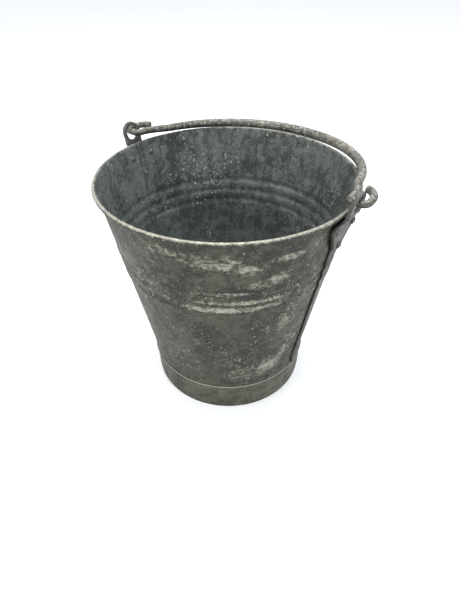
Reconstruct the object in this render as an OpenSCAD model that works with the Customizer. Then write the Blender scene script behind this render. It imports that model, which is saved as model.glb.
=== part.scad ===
// Seamed galvanised bucket: two half sheets locked in folded side seams, rolled over a rim wire,
// standing on a foot band round a flanged bottom, with two riveted ears and a swinging bail.
// Millimetres, +Z up. The origin is on the floor, on the bucket's own axis. The ears stand at +X and -X.

/* [Body] */
// Diameter over the rolled rim
rim_d = 305; // [250:1:380]
// Height from the floor to the top of the rolled rim
bucket_h = 299; // [240:1:380]
// Thickness of the body sheet
sheet_t = 0.7; // [0.5:0.05:1.1]
// Diameter of the rolled rim's section
roll_d = 5; // [4.5:0.1:8]
// How far round the wire the sheet is rolled, in degrees
roll_turn = 290; // [240:5:310]

/* [Swages] */
// Number of swages round the body
swage_count = 3; // [1:1:4]
// Distance from the middle of the rolled rim down to the top swage's middle
swage_drop = 69; // [60:0.5:100]
// Distance between neighbouring swages
swage_pitch = 15; // [13:0.5:20]
// Height of one swage, along the wall
swage_w = 12.5; // [8:0.5:13]
// How far a swage stands out
swage_depth = 1; // [0.5:0.1:3]

/* [Side seams] */
// Width of a folded side seam at the rim
seam_w = 9.8; // [8:0.2:14]
// Space between the folded layers, and between the two sheets where they meet edge to edge
seam_gap = 0.05; // [0.03:0.01:0.1]
// Distance from the rim down to the top of the folds
seam_below_rim = 8; // [6:0.5:12]

/* [Foot] */
// Diameter over the foot band, where the body's lower edge stands round it
foot_d = 218.4; // [180:1:240]
// Height of the body's lower edge above the floor
hem_z = 42.8; // [36:0.2:52]
// Height of the bead along the body's lower edge
hem_h = 3.2; // [2:0.2:5]
// How far that bead stands out
hem_out = 0.6; // [0.3:0.1:1.2]
// Height of the skirt's upper end, where the wall starts to flare
skirt_top = 64; // [58:1:90]
// How much the skirt's radius grows from its lower edge to its upper end
skirt_taper = 0.9; // [0:0.1:3]
// Height from the skirt's lower edge to the folded seams
seam_above_hem = 6.4; // [5.5:0.1:10]
// Height of the foot band, which reaches up inside the skirt
band_h = 56; // [54:0.5:62]
// Thickness of the foot band
band_t = 0.9; // [0.7:0.1:1.6]
// How much the foot band's radius falls from the skirt's edge to the floor
band_taper = 0.4; // [0:0.1:2.5]
// Height over which the band's lower edge turns in
toe_h = 8; // [4:0.5:12]
// How far the band's lower edge turns in
toe_in = 0.6; // [0:0.1:1.5]
// Height of the bottom's upper face above the floor
floor_h = 50; // [42:0.5:54]
// Thickness of the bottom
bottom_t = 1; // [0.7:0.1:1.5]
// How far the bottom's flange is turned down
flange_h = 12; // [8:0.5:16]
// Space between the skirt, the band and the bottom's flange
foot_fit = 0.1; // [0.05:0.01:0.2]

/* [Ears] */
// Thickness of an ear
ear_t = 4; // [3:0.1:5]
// Outer radius of the eye's ring
eye_ring_r = 13.2; // [12:0.1:15]
// Radius of the eye
eye_r = 8.3; // [7.5:0.1:9]
// Height of the eye's middle above the middle of the rolled rim
eye_above_rim = 12.8; // [12:0.1:16]
// Distance from the rolled rim out to the ear's back face
ear_off_rim = 3.1; // [2:0.1:5]
// Distance between the two upper rivets
rivet_span = 32; // [28:0.5:38]
// Distance from the middle of the rolled rim down to the upper rivets
rivet_drop = 14; // [12:0.5:18]
// Distance from the upper rivets down to the lower one
lobe_drop = 23; // [18:0.5:30]
// Radius of the shield's upper corners
shoulder_r = 6.5; // [6:0.1:8]
// Radius of the shield's lower lobe
lobe_r = 8.5; // [7:0.1:10]
// Radius of the fillets between the neck and the shield's shoulders
neck_fillet = 2; // [1:0.5:3]

/* [Rivets] */
// Diameter of a rivet's shank
rivet_d = 4.6; // [3.5:0.1:5]
// Diameter of a rivet's outer head
head_d = 9.2; // [8:0.1:11]
// Height of a rivet's outer head
head_h = 2.4; // [1.5:0.1:3]
// Diameter of the head hammered over inside the bucket
tail_d = 7.6; // [6:0.1:9]
// Height of the head hammered over inside the bucket
tail_h = 1.4; // [1:0.1:2]
// Space round a rivet's shank and under its heads
rivet_fit = 0.05; // [0.03:0.01:0.1]

/* [Bail] */
// Diameter of the bail at its hooks
hook_d = 8; // [6:0.1:9]
// Diameter of the bail in the middle of the grip
grip_d = 12.5; // [10:0.1:16]
// Half the width of the bail's arch
bail_half_w = 140; // [115:1:175]
// Reach of the bail's middle from the hinge line
bail_reach = 165; // [150:1:195]
// Distance from the hinge line to the widest place of the arch
bail_rise = 20; // [10:1:30]
// Length of the flare between the arch and the hooks
flare_l = 38; // [30:1:45]
// Space between an arm and the ear's back face, along the hinge line
arm_gap = 4.5; // [2:0.1:8]
// Space between a hook's tail and the ear's outer face
tail_gap = 0.3; // [0.2:0.1:2]
// Radius of a hook's bends, at the middle of the bar
hook_bend = 6.5; // [6:0.1:7]
// Radius of the curve in which a hook's tail curls back over the ear
tail_bend = 18; // [14:0.5:24]
// How far round that curve the tail goes, in degrees
tail_curl = 75; // [45:1:80]
// Twist of the tail out of the bail's plane, in degrees
tail_twist = 8; // [0:1:15]
// Straight length of the arm between the hook and the flare
arm_l = 5.5; // [4:0.5:8]
// Height of the hinge line above the middle of the rolled rim
hinge_above_rim = 14.2; // [13:0.1:15]
// How far the loose bail has slid towards the ear at +X
bail_slip = 0.5; // [0:0.1:1.5]
// Clearance between the folded bail and the rim
rest_gap = 0.35; // [0.3:0.05:1]

/* [Hidden] */
$fn = 96;

zinc = [0.45, 0.47, 0.45];
old_zinc = [0.38, 0.40, 0.38];
iron = [0.28, 0.29, 0.28];

// Rolled rim: its middle circle and its section
roll_r = roll_d / 2;
rim_r = rim_d / 2 - roll_r;
rim_z = bucket_h - roll_r;
roll_step = 15;

// The skirt stands round the band, and the wall's straight outer line runs from the skirt's top to the rim
foot_r = foot_d / 2;
hem_r = foot_r + foot_fit + sheet_t;
skirt_r = hem_r + skirt_taper;
skirt_slope = skirt_taper / (skirt_top - hem_z);
wall_angle = atan((rim_r - roll_r + sheet_t - skirt_r) / (rim_z - skirt_top));
sheet_w = sheet_t / cos(wall_angle);
wall_top_r = rim_r - (roll_r - sheet_t) * cos(wall_angle);
wall_top_z = rim_z + (roll_r - sheet_t) * sin(wall_angle);
wall_slope = (wall_top_r - skirt_r) / (wall_top_z - skirt_top);

// Folded seams: four layers, one sheet and a gap apart
layer = sheet_w + seam_gap;
seam_half = asin(seam_w / 2 / (rim_r - roll_r));
fold_a = asin(sheet_t / foot_r);
slit_a = asin(seam_gap / foot_r);
seam_foot_z = hem_z + seam_above_hem;
seam_top_z = rim_z - seam_below_rim;
swage_top = rim_z - swage_drop;

// Ears: the neck is a little narrower than the ring, and the joggle starts clear of the upper rivets' heads
neck_inset = 0.6;
head_clear = 0.6;
ear_w = ear_t / cos(wall_angle);
ear_back = rim_r + roll_r + ear_off_rim;
ear_foot = -(rivet_drop + lobe_drop + lobe_r);
neck_half = eye_ring_r - neck_inset;
shield_top = -(rivet_drop - shoulder_r);
joggle_top = 0;
joggle_foot = head_d / 2 + head_clear - rivet_drop;

// Bail
hinge_z = rim_z + hinge_above_rim;
hook_r = hook_d / 2;
hook_x = beside_rim(hinge_above_rim) - arm_gap - hook_r;
tail_x = beside_rim(eye_above_rim + eye_ring_r) + ear_w + tail_gap + bail_slip + hook_r;
curl_from = max(hook_bend, eye_above_rim + eye_ring_r - hinge_above_rim);
arch_depth = bail_reach - bail_rise;
arm_end = hook_bend + arm_l;
rings = 96;
ring_sides = 24;

// Radius of the foot band's outer face: it follows the skirt inside it, and turns in at the floor
function band_r(z) = z > hem_z
    ? foot_r + (z - hem_z) * skirt_slope
    : foot_r - (hem_z - z) * band_taper / hem_z - toe_in * pow(max(0, 1 - z / toe_h), 2);
// Radius of the wall's outer face on its straight line, without swages
function straight_r(z) = skirt_r + (z - skirt_top) * wall_slope;
// A swage's outline: a rounded bead that starts and ends tangent to the wall
function bead(u) = abs(u) >= 1 ? 0 : (1 + cos(180 * u)) / 2;
function swage_out(z) = swage_depth
    * max([for (i = [0 : swage_count - 1]) bead((z - swage_top + i * swage_pitch) / (swage_w / 2))]);
function hem_bead(z) = z < hem_z + hem_h ? hem_out * sin(180 * (z - hem_z) / hem_h) : 0;
// Radius of the wall's outer face at any height: the skirt with its bead, then the flare with its swages
function wall_r(z) = z < skirt_top
    ? hem_r + (z - hem_z) * skirt_slope + hem_bead(z)
    : straight_r(z) + swage_out(z);
// Heights at which the wall's section has points, closer together on the bead and the swages
hem_steps = 8;
swage_low = swage_top - (swage_count - 1) * swage_pitch - swage_w / 2;
swage_high = swage_top + swage_w / 2;
steps_per_swage = 14;
swage_steps = steps_per_swage * swage_count;
function seam_heights(inset) = concat(
    [seam_foot_z + inset, skirt_top],
    [for (i = [0 : swage_steps]) swage_low + (swage_high - swage_low) * i / swage_steps],
    [seam_top_z - inset]);
wall_heights = concat([for (i = [0 : hem_steps]) hem_z + hem_h * i / hem_steps], seam_heights(0), [wall_top_z]);

// Layers k to n of sheet, counted outwards from the body sheet itself, as a section
module layer_section(k, n, inset) {
    h = seam_heights(inset);
    polygon(concat(
        [for (z = h) [wall_r(z) + n * layer, z]],
        [for (i = [len(h) - 1 : -1 : 0]) [wall_r(h[i]) + k * layer - sheet_w, h[i]]]));
}

// One layer of a fold, swept from one angle to another
module fold_layer(n, from, to)
    rotate([0, 0, from]) rotate_extrude(angle = to - from) layer_section(n, n, 0);

// The bend that joins layer k to layer n, from the middle of the one sheet to the middle of the other
module fold_bend(k, n, from, to)
    rotate([0, 0, from]) rotate_extrude(angle = to - from) layer_section(k + 0.5, n - 0.5, seam_gap);

// Section of a half sheet: the skirt with its bead, the wall and the roll over the wire
module wall_section() {
    last = len(wall_heights) - 1;
    start = 180 - wall_angle;
    steps = round(roll_turn / roll_step);
    polygon(concat(
        [for (z = wall_heights) [wall_r(z), z]],
        [for (i = [1 : steps]) let (a = start - i * roll_turn / steps)
            [rim_r + (roll_r - sheet_t) * cos(a), rim_z + (roll_r - sheet_t) * sin(a)]],
        [for (i = [steps : -1 : 0]) let (a = start - i * roll_turn / steps)
            [rim_r + roll_r * cos(a), rim_z + roll_r * sin(a)]],
        [for (i = [last - 1 : -1 : 0]) let (z = wall_heights[i]) [wall_r(z) - sheet_w, z]]));
}

// One half sheet, from the seam at -X round to the seam at +X. Its end at +X is folded out and back, and
// its end at -X stands over the other sheet's fold and hooks under it.
module half_sheet() {
    difference() {
        union() {
            rotate([0, 0, seam_half + slit_a - 180])
                rotate_extrude(angle = 180 - slit_a) wall_section();
            fold_bend(0, 2, seam_half - fold_a, seam_half - slit_a);
            fold_layer(2, fold_a + slit_a - seam_half, seam_half);
            rotate([0, 0, -180]) {
                fold_bend(0, 3, seam_half + 2 * slit_a, seam_half + fold_a);
                fold_layer(3, -seam_half, seam_half + slit_a + fold_a);
                fold_bend(1, 3, slit_a - seam_half, fold_a - seam_half);
                fold_layer(1, -seam_half, seam_half - fold_a - slit_a);
            }
        }
        for (turn = [0, 180]) rotate([0, 0, turn]) rivet_holes();
    }
}

module wall_front() color(zinc) half_sheet();

module wall_back() color(zinc) rotate([0, 0, 180]) half_sheet();

// Bottom: a disc with its edge turned down inside the foot band
module bottom() {
    flange_z = floor_h - bottom_t - flange_h;
    edge = band_r(min(flange_z, hem_z)) - band_t - foot_fit;
    bend = 2 * bottom_t;
    color(zinc) rotate_extrude() polygon(concat(
        [[0, floor_h]],
        [for (a = [90 : -15 : 0]) [edge - bend + bend * cos(a), floor_h - bend + bend * sin(a)]],
        [[edge, flange_z], [edge - bottom_t, flange_z]],
        [for (a = [0 : 15 : 90])
            [edge - bend + (bend - bottom_t) * cos(a), floor_h - bend + (bend - bottom_t) * sin(a)]],
        [[0, floor_h - bottom_t]]));
}

// Foot band: a hoop that the bucket stands on, inside the body's skirt and turned in a little at the floor
module foot_band() {
    toe_steps = 6;
    heights = concat([for (i = [0 : toe_steps]) toe_h * i / toe_steps], [hem_z, band_h]);
    last = len(heights) - 1;
    color(old_zinc) rotate_extrude() polygon(concat(
        [for (i = [0 : last]) [band_r(heights[i]), heights[i]]],
        [for (i = [last : -1 : 0]) [band_r(heights[i]) - band_t, heights[i]]]));
}

// The wire that the rim is rolled round
module rim_wire() {
    wire_r = (roll_r - sheet_t) * cos(roll_step / 2) - seam_gap;
    color(iron) rotate_extrude() translate([rim_r, rim_z]) circle(wire_r);
}

// The ear's section: along the wall over the seam, out round the rolled rim, and up beside it
function over_seam(w) = straight_r(rim_z + w) + 3 * layer + seam_gap;
function beside_rim(w) = ear_back + wall_slope * w;
module ear_section() {
    past = 1; // the section runs this far past the outline at both ends
    foot = ear_foot - past;
    top = eye_above_rim + eye_ring_r + past;
    back = [[over_seam(foot), foot], [over_seam(joggle_foot), joggle_foot],
            [beside_rim(joggle_top), joggle_top], [beside_rim(top), top]];
    polygon(concat(back, [for (i = [3 : -1 : 0]) back[i] + [ear_w, 0]]));
}

// Points round an arc, both ends included, one to every few degrees
arc_step = 7.5;
function arc(middle, r, from, to) = let (n = ceil(abs(to - from) / arc_step))
    [for (i = [0 : n]) let (a = from + (to - from) * i / n) middle + r * [cos(a), sin(a)]];

// Left half of the ear's outline, seen from outside: over the ring, down the neck, round the shield's upper
// corner and down its side to the bottom of the lobe
function half_outline() = let (
    corner = [-rivet_span / 2, -rivet_drop],
    lobe = [0, -rivet_drop - lobe_drop],
    side = lobe - corner,
    tangent = 360 + atan2(side[1], side[0]) - acos((shoulder_r - lobe_r) / norm(side)))
    concat(
        arc([0, eye_above_rim], eye_ring_r, 90, 180 + acos(neck_half / eye_ring_r)),
        arc([-neck_half - neck_fillet, shield_top + neck_fillet], neck_fillet, 0, -90),
        arc(corner, shoulder_r, 90, tangent),
        arc(lobe, lobe_r, tangent, 270));

module ear_outline() {
    left = half_outline();
    difference() {
        polygon(concat(left, [for (i = [len(left) - 2 : -1 : 1]) [-left[i][0], left[i][1]]]));
        translate([0, eye_above_rim]) circle(eye_r);
    }
}

// Places a piece at one of the rivets of the ear at +X, its own +Z pointing straight out of the shield.
// The origin is on the shield's back face.
module at_rivet(y, w)
    translate([over_seam(w), y, rim_z + w]) rotate([0, 90 + wall_angle, 0]) children();

rivet_places = [[-rivet_span / 2, -rivet_drop], [rivet_span / 2, -rivet_drop], [0, -rivet_drop - lobe_drop]];
// Distance from the shield's back face in to the body sheet's inner face, at each rivet
function grip_depth(p) = p[0] == 0
    ? (3 * layer + seam_gap) * cos(wall_angle) + sheet_t
    : (over_seam(p[1]) - sqrt(pow(straight_r(rim_z + p[1]) - sheet_w, 2) - p[0] * p[0])) * cos(wall_angle);

module rivet_holes() {
    bore = rivet_d / 2 + rivet_fit;
    past = 3; // the drill runs this far past both faces
    for (p = rivet_places) at_rivet(p[0], p[1])
        translate([0, 0, -grip_depth(p) - past]) cylinder(r = bore, h = grip_depth(p) + ear_t + 2 * past);
}

module ear() {
    color(iron) difference() {
        intersection() {
            translate([0, rivet_span, rim_z]) rotate([90, 0, 0])
                linear_extrude(2 * rivet_span) ear_section();
            translate([rim_r - 3 * ear_t, 0, rim_z]) rotate([90, 0, 90])
                linear_extrude(8 * ear_t) ear_outline();
        }
        rivet_holes();
    }
}

module ear_right() ear();

module ear_left() rotate([0, 0, 180]) ear();

// A rivet: domed head outside, shank through the ear and the sheet, flatter head hammered over inside
module rivet(i) {
    p = rivet_places[i];
    // the sheet curves away from a flat head, so the inner head stands clear of it by this much
    tail_r = tail_d / 2;
    curve = (pow(abs(p[0]) + tail_r, 2) - pow(p[0], 2)) / 2 / rim_r;
    inner = grip_depth(p) + curve * cos(wall_angle) + rivet_fit;
    color(iron) at_rivet(p[0], p[1]) {
        translate([0, 0, -inner]) cylinder(d = rivet_d, h = inner + ear_t + rivet_fit);
        translate([0, 0, ear_t + rivet_fit]) dome(head_d / 2, head_h);
        translate([0, 0, -inner]) rotate([180, 0, 0]) dome(tail_r, tail_h);
    }
}

// A low dome on a flat face: a slice of a sphere
module dome(r, h) {
    ball = (r * r + h * h) / (2 * h);
    rotate_extrude() intersection() {
        translate([0, h - ball]) circle(ball);
        square([r, h]);
    }
}

module rivet_right_front() rivet(0);

module rivet_right_back() rivet(1);

module rivet_right_lower() rivet(2);

module rivet_left_front() rotate([0, 0, 180]) rivet(1);

module rivet_left_back() rotate([0, 0, 180]) rivet(0);

module rivet_left_lower() rotate([0, 0, 180]) rivet(2);

// Middle line of the bail from one flare to the other, in the bail's plane: x along the hinge line, y away from it
arch_from = asin((arm_end - bail_rise) / arch_depth);
function smooth(u) = u <= 0 ? 0 : u >= 1 ? 1 : u * u * (3 - 2 * u);
function arch_point(a) = let (
    y = bail_rise + arch_depth * sin(a),
    x = bail_half_w * cos(a),
    pull = 1 - smooth((y - arm_end) / flare_l))
    [x + (sign(x) * hook_x - x) * pull, y];
function arch_angle(i) = arch_from + (180 - 2 * arch_from) * i / (rings - 1);
// The bar swells smoothly from the hooks to the middle of the grip. Its ends start just inside the arms.
end_inset = 0.06;
arch_end_r = hook_r - end_inset;
function bar_r(i) = arch_end_r + (grip_d / 2 - arch_end_r) * sin(180 * i / (rings - 1));

// The arch, swept along its middle line
module bail_arch() {
    middle = [for (i = [0 : rings - 1]) arch_point(arch_angle(i))];
    heading = [for (i = [0 : rings - 1])
        i == 0 ? [0, 1] : i == rings - 1 ? [0, -1] : middle[i + 1] - middle[i - 1]];
    points = [for (i = [0 : rings - 1]) let (u = heading[i] / norm(heading[i]))
        for (j = [0 : ring_sides - 1]) let (a = 360 * j / ring_sides)
            [middle[i][0] + bar_r(i) * cos(a) * u[1], middle[i][1] - bar_r(i) * cos(a) * u[0],
             bar_r(i) * sin(a)]];
    sides = [for (i = [0 : rings - 2]) for (j = [0 : ring_sides - 1]) let (
        k = (j + 1) % ring_sides, a = i * ring_sides, b = a + ring_sides)
        [a + k, b + k, b + j, a + j]];
    ends = [[for (j = [ring_sides - 1 : -1 : 0]) j],
            [for (j = [0 : ring_sides - 1]) (rings - 1) * ring_sides + j]];
    polyhedron(points, concat(sides, ends), convexity = 4);
}

// One hook at the +X ear: the arm, a bend, the hinge rod through the eye, a bend, and the tail, which is
// twisted up about the hinge line and curls back over the ear
module hook() {
    overlap = 0.5;
    translate([hook_x, hook_bend, 0]) rotate([-90, 0, 0]) cylinder(r = hook_r, h = arm_l + overlap);
    translate([hook_x + hook_bend, hook_bend, 0]) rotate([0, 0, 180])
        rotate_extrude(angle = 90) translate([hook_bend, 0]) circle(hook_r);
    translate([hook_x + hook_bend, 0, 0]) rotate([0, 90, 0])
        cylinder(r = hook_r, h = tail_x - hook_x - 2 * hook_bend);
    rotate([tail_twist, 0, 0]) {
        translate([tail_x - hook_bend, hook_bend, 0]) rotate([0, 0, -90])
            rotate_extrude(angle = 90) translate([hook_bend, 0]) circle(hook_r);
        translate([tail_x, hook_bend, 0]) rotate([-90, 0, 0])
            cylinder(r = hook_r, h = curl_from - hook_bend);
        translate([tail_x - tail_bend, curl_from, 0])
            rotate_extrude(angle = tail_curl) translate([tail_bend, 0]) circle(hook_r);
    }
}

// How far the bail can drop below level before ring i comes to within rest_gap of the rolled rim
function drop_limit(i) = let (
    p = arch_point(arch_angle(i)),
    off = norm(p + [bail_slip, 0]) - rim_r,
    reach = bar_r(i) + roll_r + rest_gap,
    rise = abs(off) < reach ? sqrt(reach * reach - off * off) : 0)
    abs(off) < reach ? asin((hinge_above_rim - rise) / p[1]) : 90;
bail_drop = min([for (i = [0 : rings - 1]) drop_limit(i)]);

module bail() {
    color(old_zinc) translate([bail_slip, 0, hinge_z]) rotate([-bail_drop, 0, 0]) {
        bail_arch();
        hook();
        mirror([1, 0, 0]) hook();
    }
}

wall_front();
wall_back();
bottom();
foot_band();
rim_wire();
ear_right();
ear_left();
rivet_right_front();
rivet_right_back();
rivet_right_lower();
rivet_left_front();
rivet_left_back();
rivet_left_lower();
bail();
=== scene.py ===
"""Weathered galvanised bucket: the dressed model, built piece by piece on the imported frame."""

import logging
import math
from collections.abc import Iterable
from dataclasses import dataclass, field, replace
from enum import Enum

import bmesh
import bpy
import numpy as np
from mathutils import Matrix, Vector


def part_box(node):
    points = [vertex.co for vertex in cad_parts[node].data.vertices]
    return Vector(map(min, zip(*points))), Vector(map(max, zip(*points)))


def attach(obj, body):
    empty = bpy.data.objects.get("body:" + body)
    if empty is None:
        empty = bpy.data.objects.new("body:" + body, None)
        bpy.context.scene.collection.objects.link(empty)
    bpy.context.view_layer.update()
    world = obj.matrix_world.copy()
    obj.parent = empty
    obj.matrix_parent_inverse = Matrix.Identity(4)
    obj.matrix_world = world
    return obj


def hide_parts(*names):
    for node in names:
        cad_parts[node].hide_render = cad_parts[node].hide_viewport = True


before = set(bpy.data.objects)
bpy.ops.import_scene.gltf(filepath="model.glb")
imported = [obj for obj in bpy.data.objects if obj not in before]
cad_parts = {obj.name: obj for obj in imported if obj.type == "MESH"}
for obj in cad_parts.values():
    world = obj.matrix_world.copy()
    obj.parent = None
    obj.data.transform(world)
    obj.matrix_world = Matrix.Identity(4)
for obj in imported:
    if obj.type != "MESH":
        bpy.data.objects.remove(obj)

LOG = logging.getLogger("bucket")
MM = 0.001
BUCKET = "bucket"
BAIL = "bail"

# Points closer than this, in metres, are one point.
MERGE = 2e-6

Socket = bpy.types.NodeSocket
Colour = tuple[float, float, float]
Place = tuple[float, float, float]
Row = tuple[float, float, float, float, float]


class Side(Enum):
    """The two ears, and the two seams below them, by the direction they stand in."""

    RIGHT = 1
    LEFT = -1

    @property
    def turn(self) -> float:
        """Angle about +Z that carries a piece from the right-hand side to this one."""
        return 0.0 if self is Side.RIGHT else math.pi

    @property
    def other(self) -> "Side":
        """The side across the bucket."""
        return Side(-self.value)


class Channel(Enum):
    """Values stored on a mesh's points, for its finish or for a Geometry Nodes tree to read."""

    INSIDE = "inside"
    # Rubbed places: partly worn, partly painted highlights on the bead, the rim top and the bail top.
    WEAR_AND_HIGHLIGHT = "wear_and_highlight"
    # Darkening: painted shade under the rim, along the seams, under the hem and under the bail, and darkening
    # of unclear cause on the foot and the bottom.
    SHADE_AND_GRIME = "shade_and_grime"
    BAR_RADIUS = "bar_radius"
    FACING = "facing"
    SIZE = "size"

    @property
    def wide(self) -> bool:
        """True for rows of three numbers."""
        return self in (Channel.FACING, Channel.SIZE)


FINISH = (Channel.INSIDE, Channel.WEAR_AND_HIGHLIGHT, Channel.SHADE_AND_GRIME)

# A noise is taken down by a little more than its average, so that it mostly presses the surface in.
RIPPLE_REST = 0.62
SEED = 3.0
BOTTOM_SEED = 7.0


class Value:
    """A number that flows through a node tree: Python's arithmetic on it writes the Math nodes."""

    def __init__(self, tree: "NodeTree", socket: Socket) -> None:
        """Wraps the socket that carries the number."""
        self.tree = tree
        self.socket = socket

    def __add__(self, other: "Number") -> "Value":
        """The sum."""
        return self.tree.math("ADD", self, other)

    def __sub__(self, other: "Number") -> "Value":
        """The difference."""
        return self.tree.math("SUBTRACT", self, other)

    def __rsub__(self, other: "Number") -> "Value":
        """The difference from a plain number."""
        return self.tree.math("SUBTRACT", other, self)

    def __mul__(self, other: "Number") -> "Value":
        """The product."""
        return self.tree.math("MULTIPLY", self, other)

    def __truediv__(self, other: "Number") -> "Value":
        """The quotient."""
        return self.tree.math("DIVIDE", self, other)

    __radd__ = __add__
    __rmul__ = __mul__


Number = Value | float


@dataclass(frozen=True)
class Layer:
    """A noise: its features in a metre, its finer layers' number and strength, and how far it is dragged."""

    scale: Number
    detail: float = 2.0
    rough: float = 0.5
    drag: float = 0.0


class NodeTree:
    """Writes nodes into a tree and links them as they are made."""

    def __init__(self, tree: bpy.types.NodeTree) -> None:
        """Starts on an emptied tree."""
        self.tree = tree
        tree.nodes.clear()

    def add(self, kind: str, inputs: dict[str | int, object] | None = None,
            **settings: object) -> bpy.types.Node:
        """Adds a node.

        Args:
            kind: Blender's name for the node type.
            inputs: a value, or what to link from, for each input by name or number.
            settings: properties to set on the node before its inputs.

        Returns:
            The new node.
        """
        node = self.tree.nodes.new(kind)
        for name, value in settings.items():
            setattr(node, name, value)
        for key, value in (inputs or {}).items():
            self.feed(node.inputs[key], value)
        return node

    def feed(self, socket: Socket, value: object) -> None:
        """Links a value into an input, or sets the input's own value.

        Args:
            socket: the input.
            value: a Value or socket to link from, or a plain value.
        """
        source = value.socket if isinstance(value, Value) else value
        if isinstance(source, Socket):
            self.tree.links.new(source, socket)
        else:
            socket.default_value = source

    def math(self, operation: str, a: Number, b: Number = 0.0) -> Value:
        """Result of a Math node."""
        return Value(self, self.add("ShaderNodeMath", {0: a, 1: b}, operation=operation).outputs[0])

    def vector_math(self, operation: str, **inputs: object) -> Socket:
        """Result of a Vector Math node.

        Args:
            operation: the node's operation.
            inputs: its inputs, called a, b, c and scale.

        Returns:
            The vector.
        """
        keys = {"a": 0, "b": 1, "c": 2, "scale": "Scale"}
        fed = {keys[name]: value for name, value in inputs.items()}
        return self.add("ShaderNodeVectorMath", fed, operation=operation).outputs[0]

    def combine(self, x: Number, y: Number, z: Number) -> Socket:
        """A vector from three numbers."""
        return self.add("ShaderNodeCombineXYZ", {0: x, 1: y, 2: z}).outputs[0]

    def separate(self, vector: Socket) -> tuple[Value, Value, Value]:
        """The three numbers of a vector."""
        x, y, z = self.add("ShaderNodeSeparateXYZ", {0: vector}).outputs
        return Value(self, x), Value(self, y), Value(self, z)

    def noise_node(self, vector: Socket, layer: Layer) -> bpy.types.Node:
        """A noise texture read at a vector."""
        return self.add("ShaderNodeTexNoise", {"Vector": vector, "Scale": layer.scale, "Detail": layer.detail,
                                               "Roughness": layer.rough, "Distortion": layer.drag})

    def noise(self, vector: Socket, layer: Layer) -> Value:
        """Value of a noise, about 0.5 on average."""
        return Value(self, self.noise_node(vector, layer).outputs[0])

    def fade(self, value: Number, start: float, end: float) -> Value:
        """Smooth step from 0 at start to 1 at end, whichever of the two is higher.

        Args:
            value: the number that is looked at.
            start: where the step begins.
            end: where it is complete.

        Returns:
            The step.
        """
        low, high = (0.0, 1.0) if start < end else (1.0, 0.0)
        node = self.add("ShaderNodeMapRange",
                        {0: value, 1: min(start, end), 2: max(start, end), 3: low, 4: high},
                        interpolation_type="SMOOTHSTEP")
        return Value(self, node.outputs[0])


class ShaderTree(NodeTree):
    """A material's or a world's tree, with the few extra nodes that colours need."""

    def mix(self, amount: Number, a: object, b: object) -> Socket:
        """Mix of two colours.

        Args:
            amount: how much of the second there is.
            a: the first colour, or its socket.
            b: the second.

        Returns:
            The mixed colour.
        """
        first, second = (c if isinstance(c, Socket) else (*c, 1.0) for c in (a, b))
        return self.add("ShaderNodeMix", {0: amount, 6: first, 7: second}, data_type="RGBA").outputs[2]

    def channel(self, channel: Channel) -> Value:
        """A value stored on the mesh's points."""
        return Value(self, self.add("ShaderNodeAttribute", attribute_name=channel.value).outputs["Fac"])

    def cells(self, vector: Socket, scale: float) -> tuple[Value, Socket]:
        """Distance and random colour of a Voronoi texture's cells."""
        node = self.add("ShaderNodeTexVoronoi", {"Vector": vector, "Scale": scale}, feature="F1")
        return Value(self, node.outputs["Distance"]), node.outputs["Color"]

    def seen(self) -> Value:
        """Tells the rays that show a surface, in the picture or in a reflection, from those that it lights.

        Returns:
            1 for the rays that show it, and 0 for the others.
        """
        rays = self.add("ShaderNodeLightPath").outputs
        bent = self.math("MAXIMUM", rays["Is Glossy Ray"], rays["Is Transmission Ray"])
        return self.math("MAXIMUM", rays["Is Camera Ray"], bent)

    def metal(self, colour: Socket, metallic: Number, rough: Value, relief: Value, strength: float,
              depth: float) -> None:
        """Ends the tree with a bumpy metal.

        Args:
            colour: its colour.
            metallic: how much of it is metal.
            rough: its roughness.
            relief: height of its surface, from 0 to about 1.
            strength: strength of the bump.
            depth: length in metres that the relief stands for.
        """
        bump = self.add("ShaderNodeBump", {"Strength": strength, "Distance": depth, "Height": relief})
        shader = self.add("ShaderNodeBsdfPrincipled", {"Base Color": colour, "Metallic": metallic,
                                                       "Roughness": rough, "Normal": bump.outputs[0]})
        self.add("ShaderNodeOutputMaterial", {"Surface": shader.outputs[0]})


def new_material(name: str) -> tuple[bpy.types.Material, ShaderTree]:
    """A new material and its emptied tree.

    Args:
        name: its name.

    Returns:
        The material and the tree.
    """
    material = bpy.data.materials.new(name)
    material.use_nodes = True
    return material, ShaderTree(material.node_tree)


@dataclass(frozen=True)
class WornPlace:
    """A place on the outside of the body where the dull skin has flaked or rubbed off.

    Angles are in degrees about +Z from +X, and lengths in metres.
    """

    angle: float
    height: float
    half_width: float
    half_height: float
    strength: float


@dataclass(frozen=True)
class Tones:
    """The colours of one face of a weathered sheet, from the dark that painted shade blends towards to its
    bare metal.
    """

    # The dark that painted shade, and darkening of unclear cause, blend towards.
    shade_and_dirt: Colour
    dark: Colour
    middle: Colour
    flake: Colour
    bare: Colour


@dataclass(frozen=True)
class Ground:
    """What a finish knows of a point: its place, the face of the sheet it is on, and how rubbed it is, partly
    worn and partly painted highlight.
    """

    point: Socket
    x: Value
    y: Value
    z: Value
    inside: Value
    outside: Value
    wear_and_highlight: Value
    fine: Value


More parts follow.
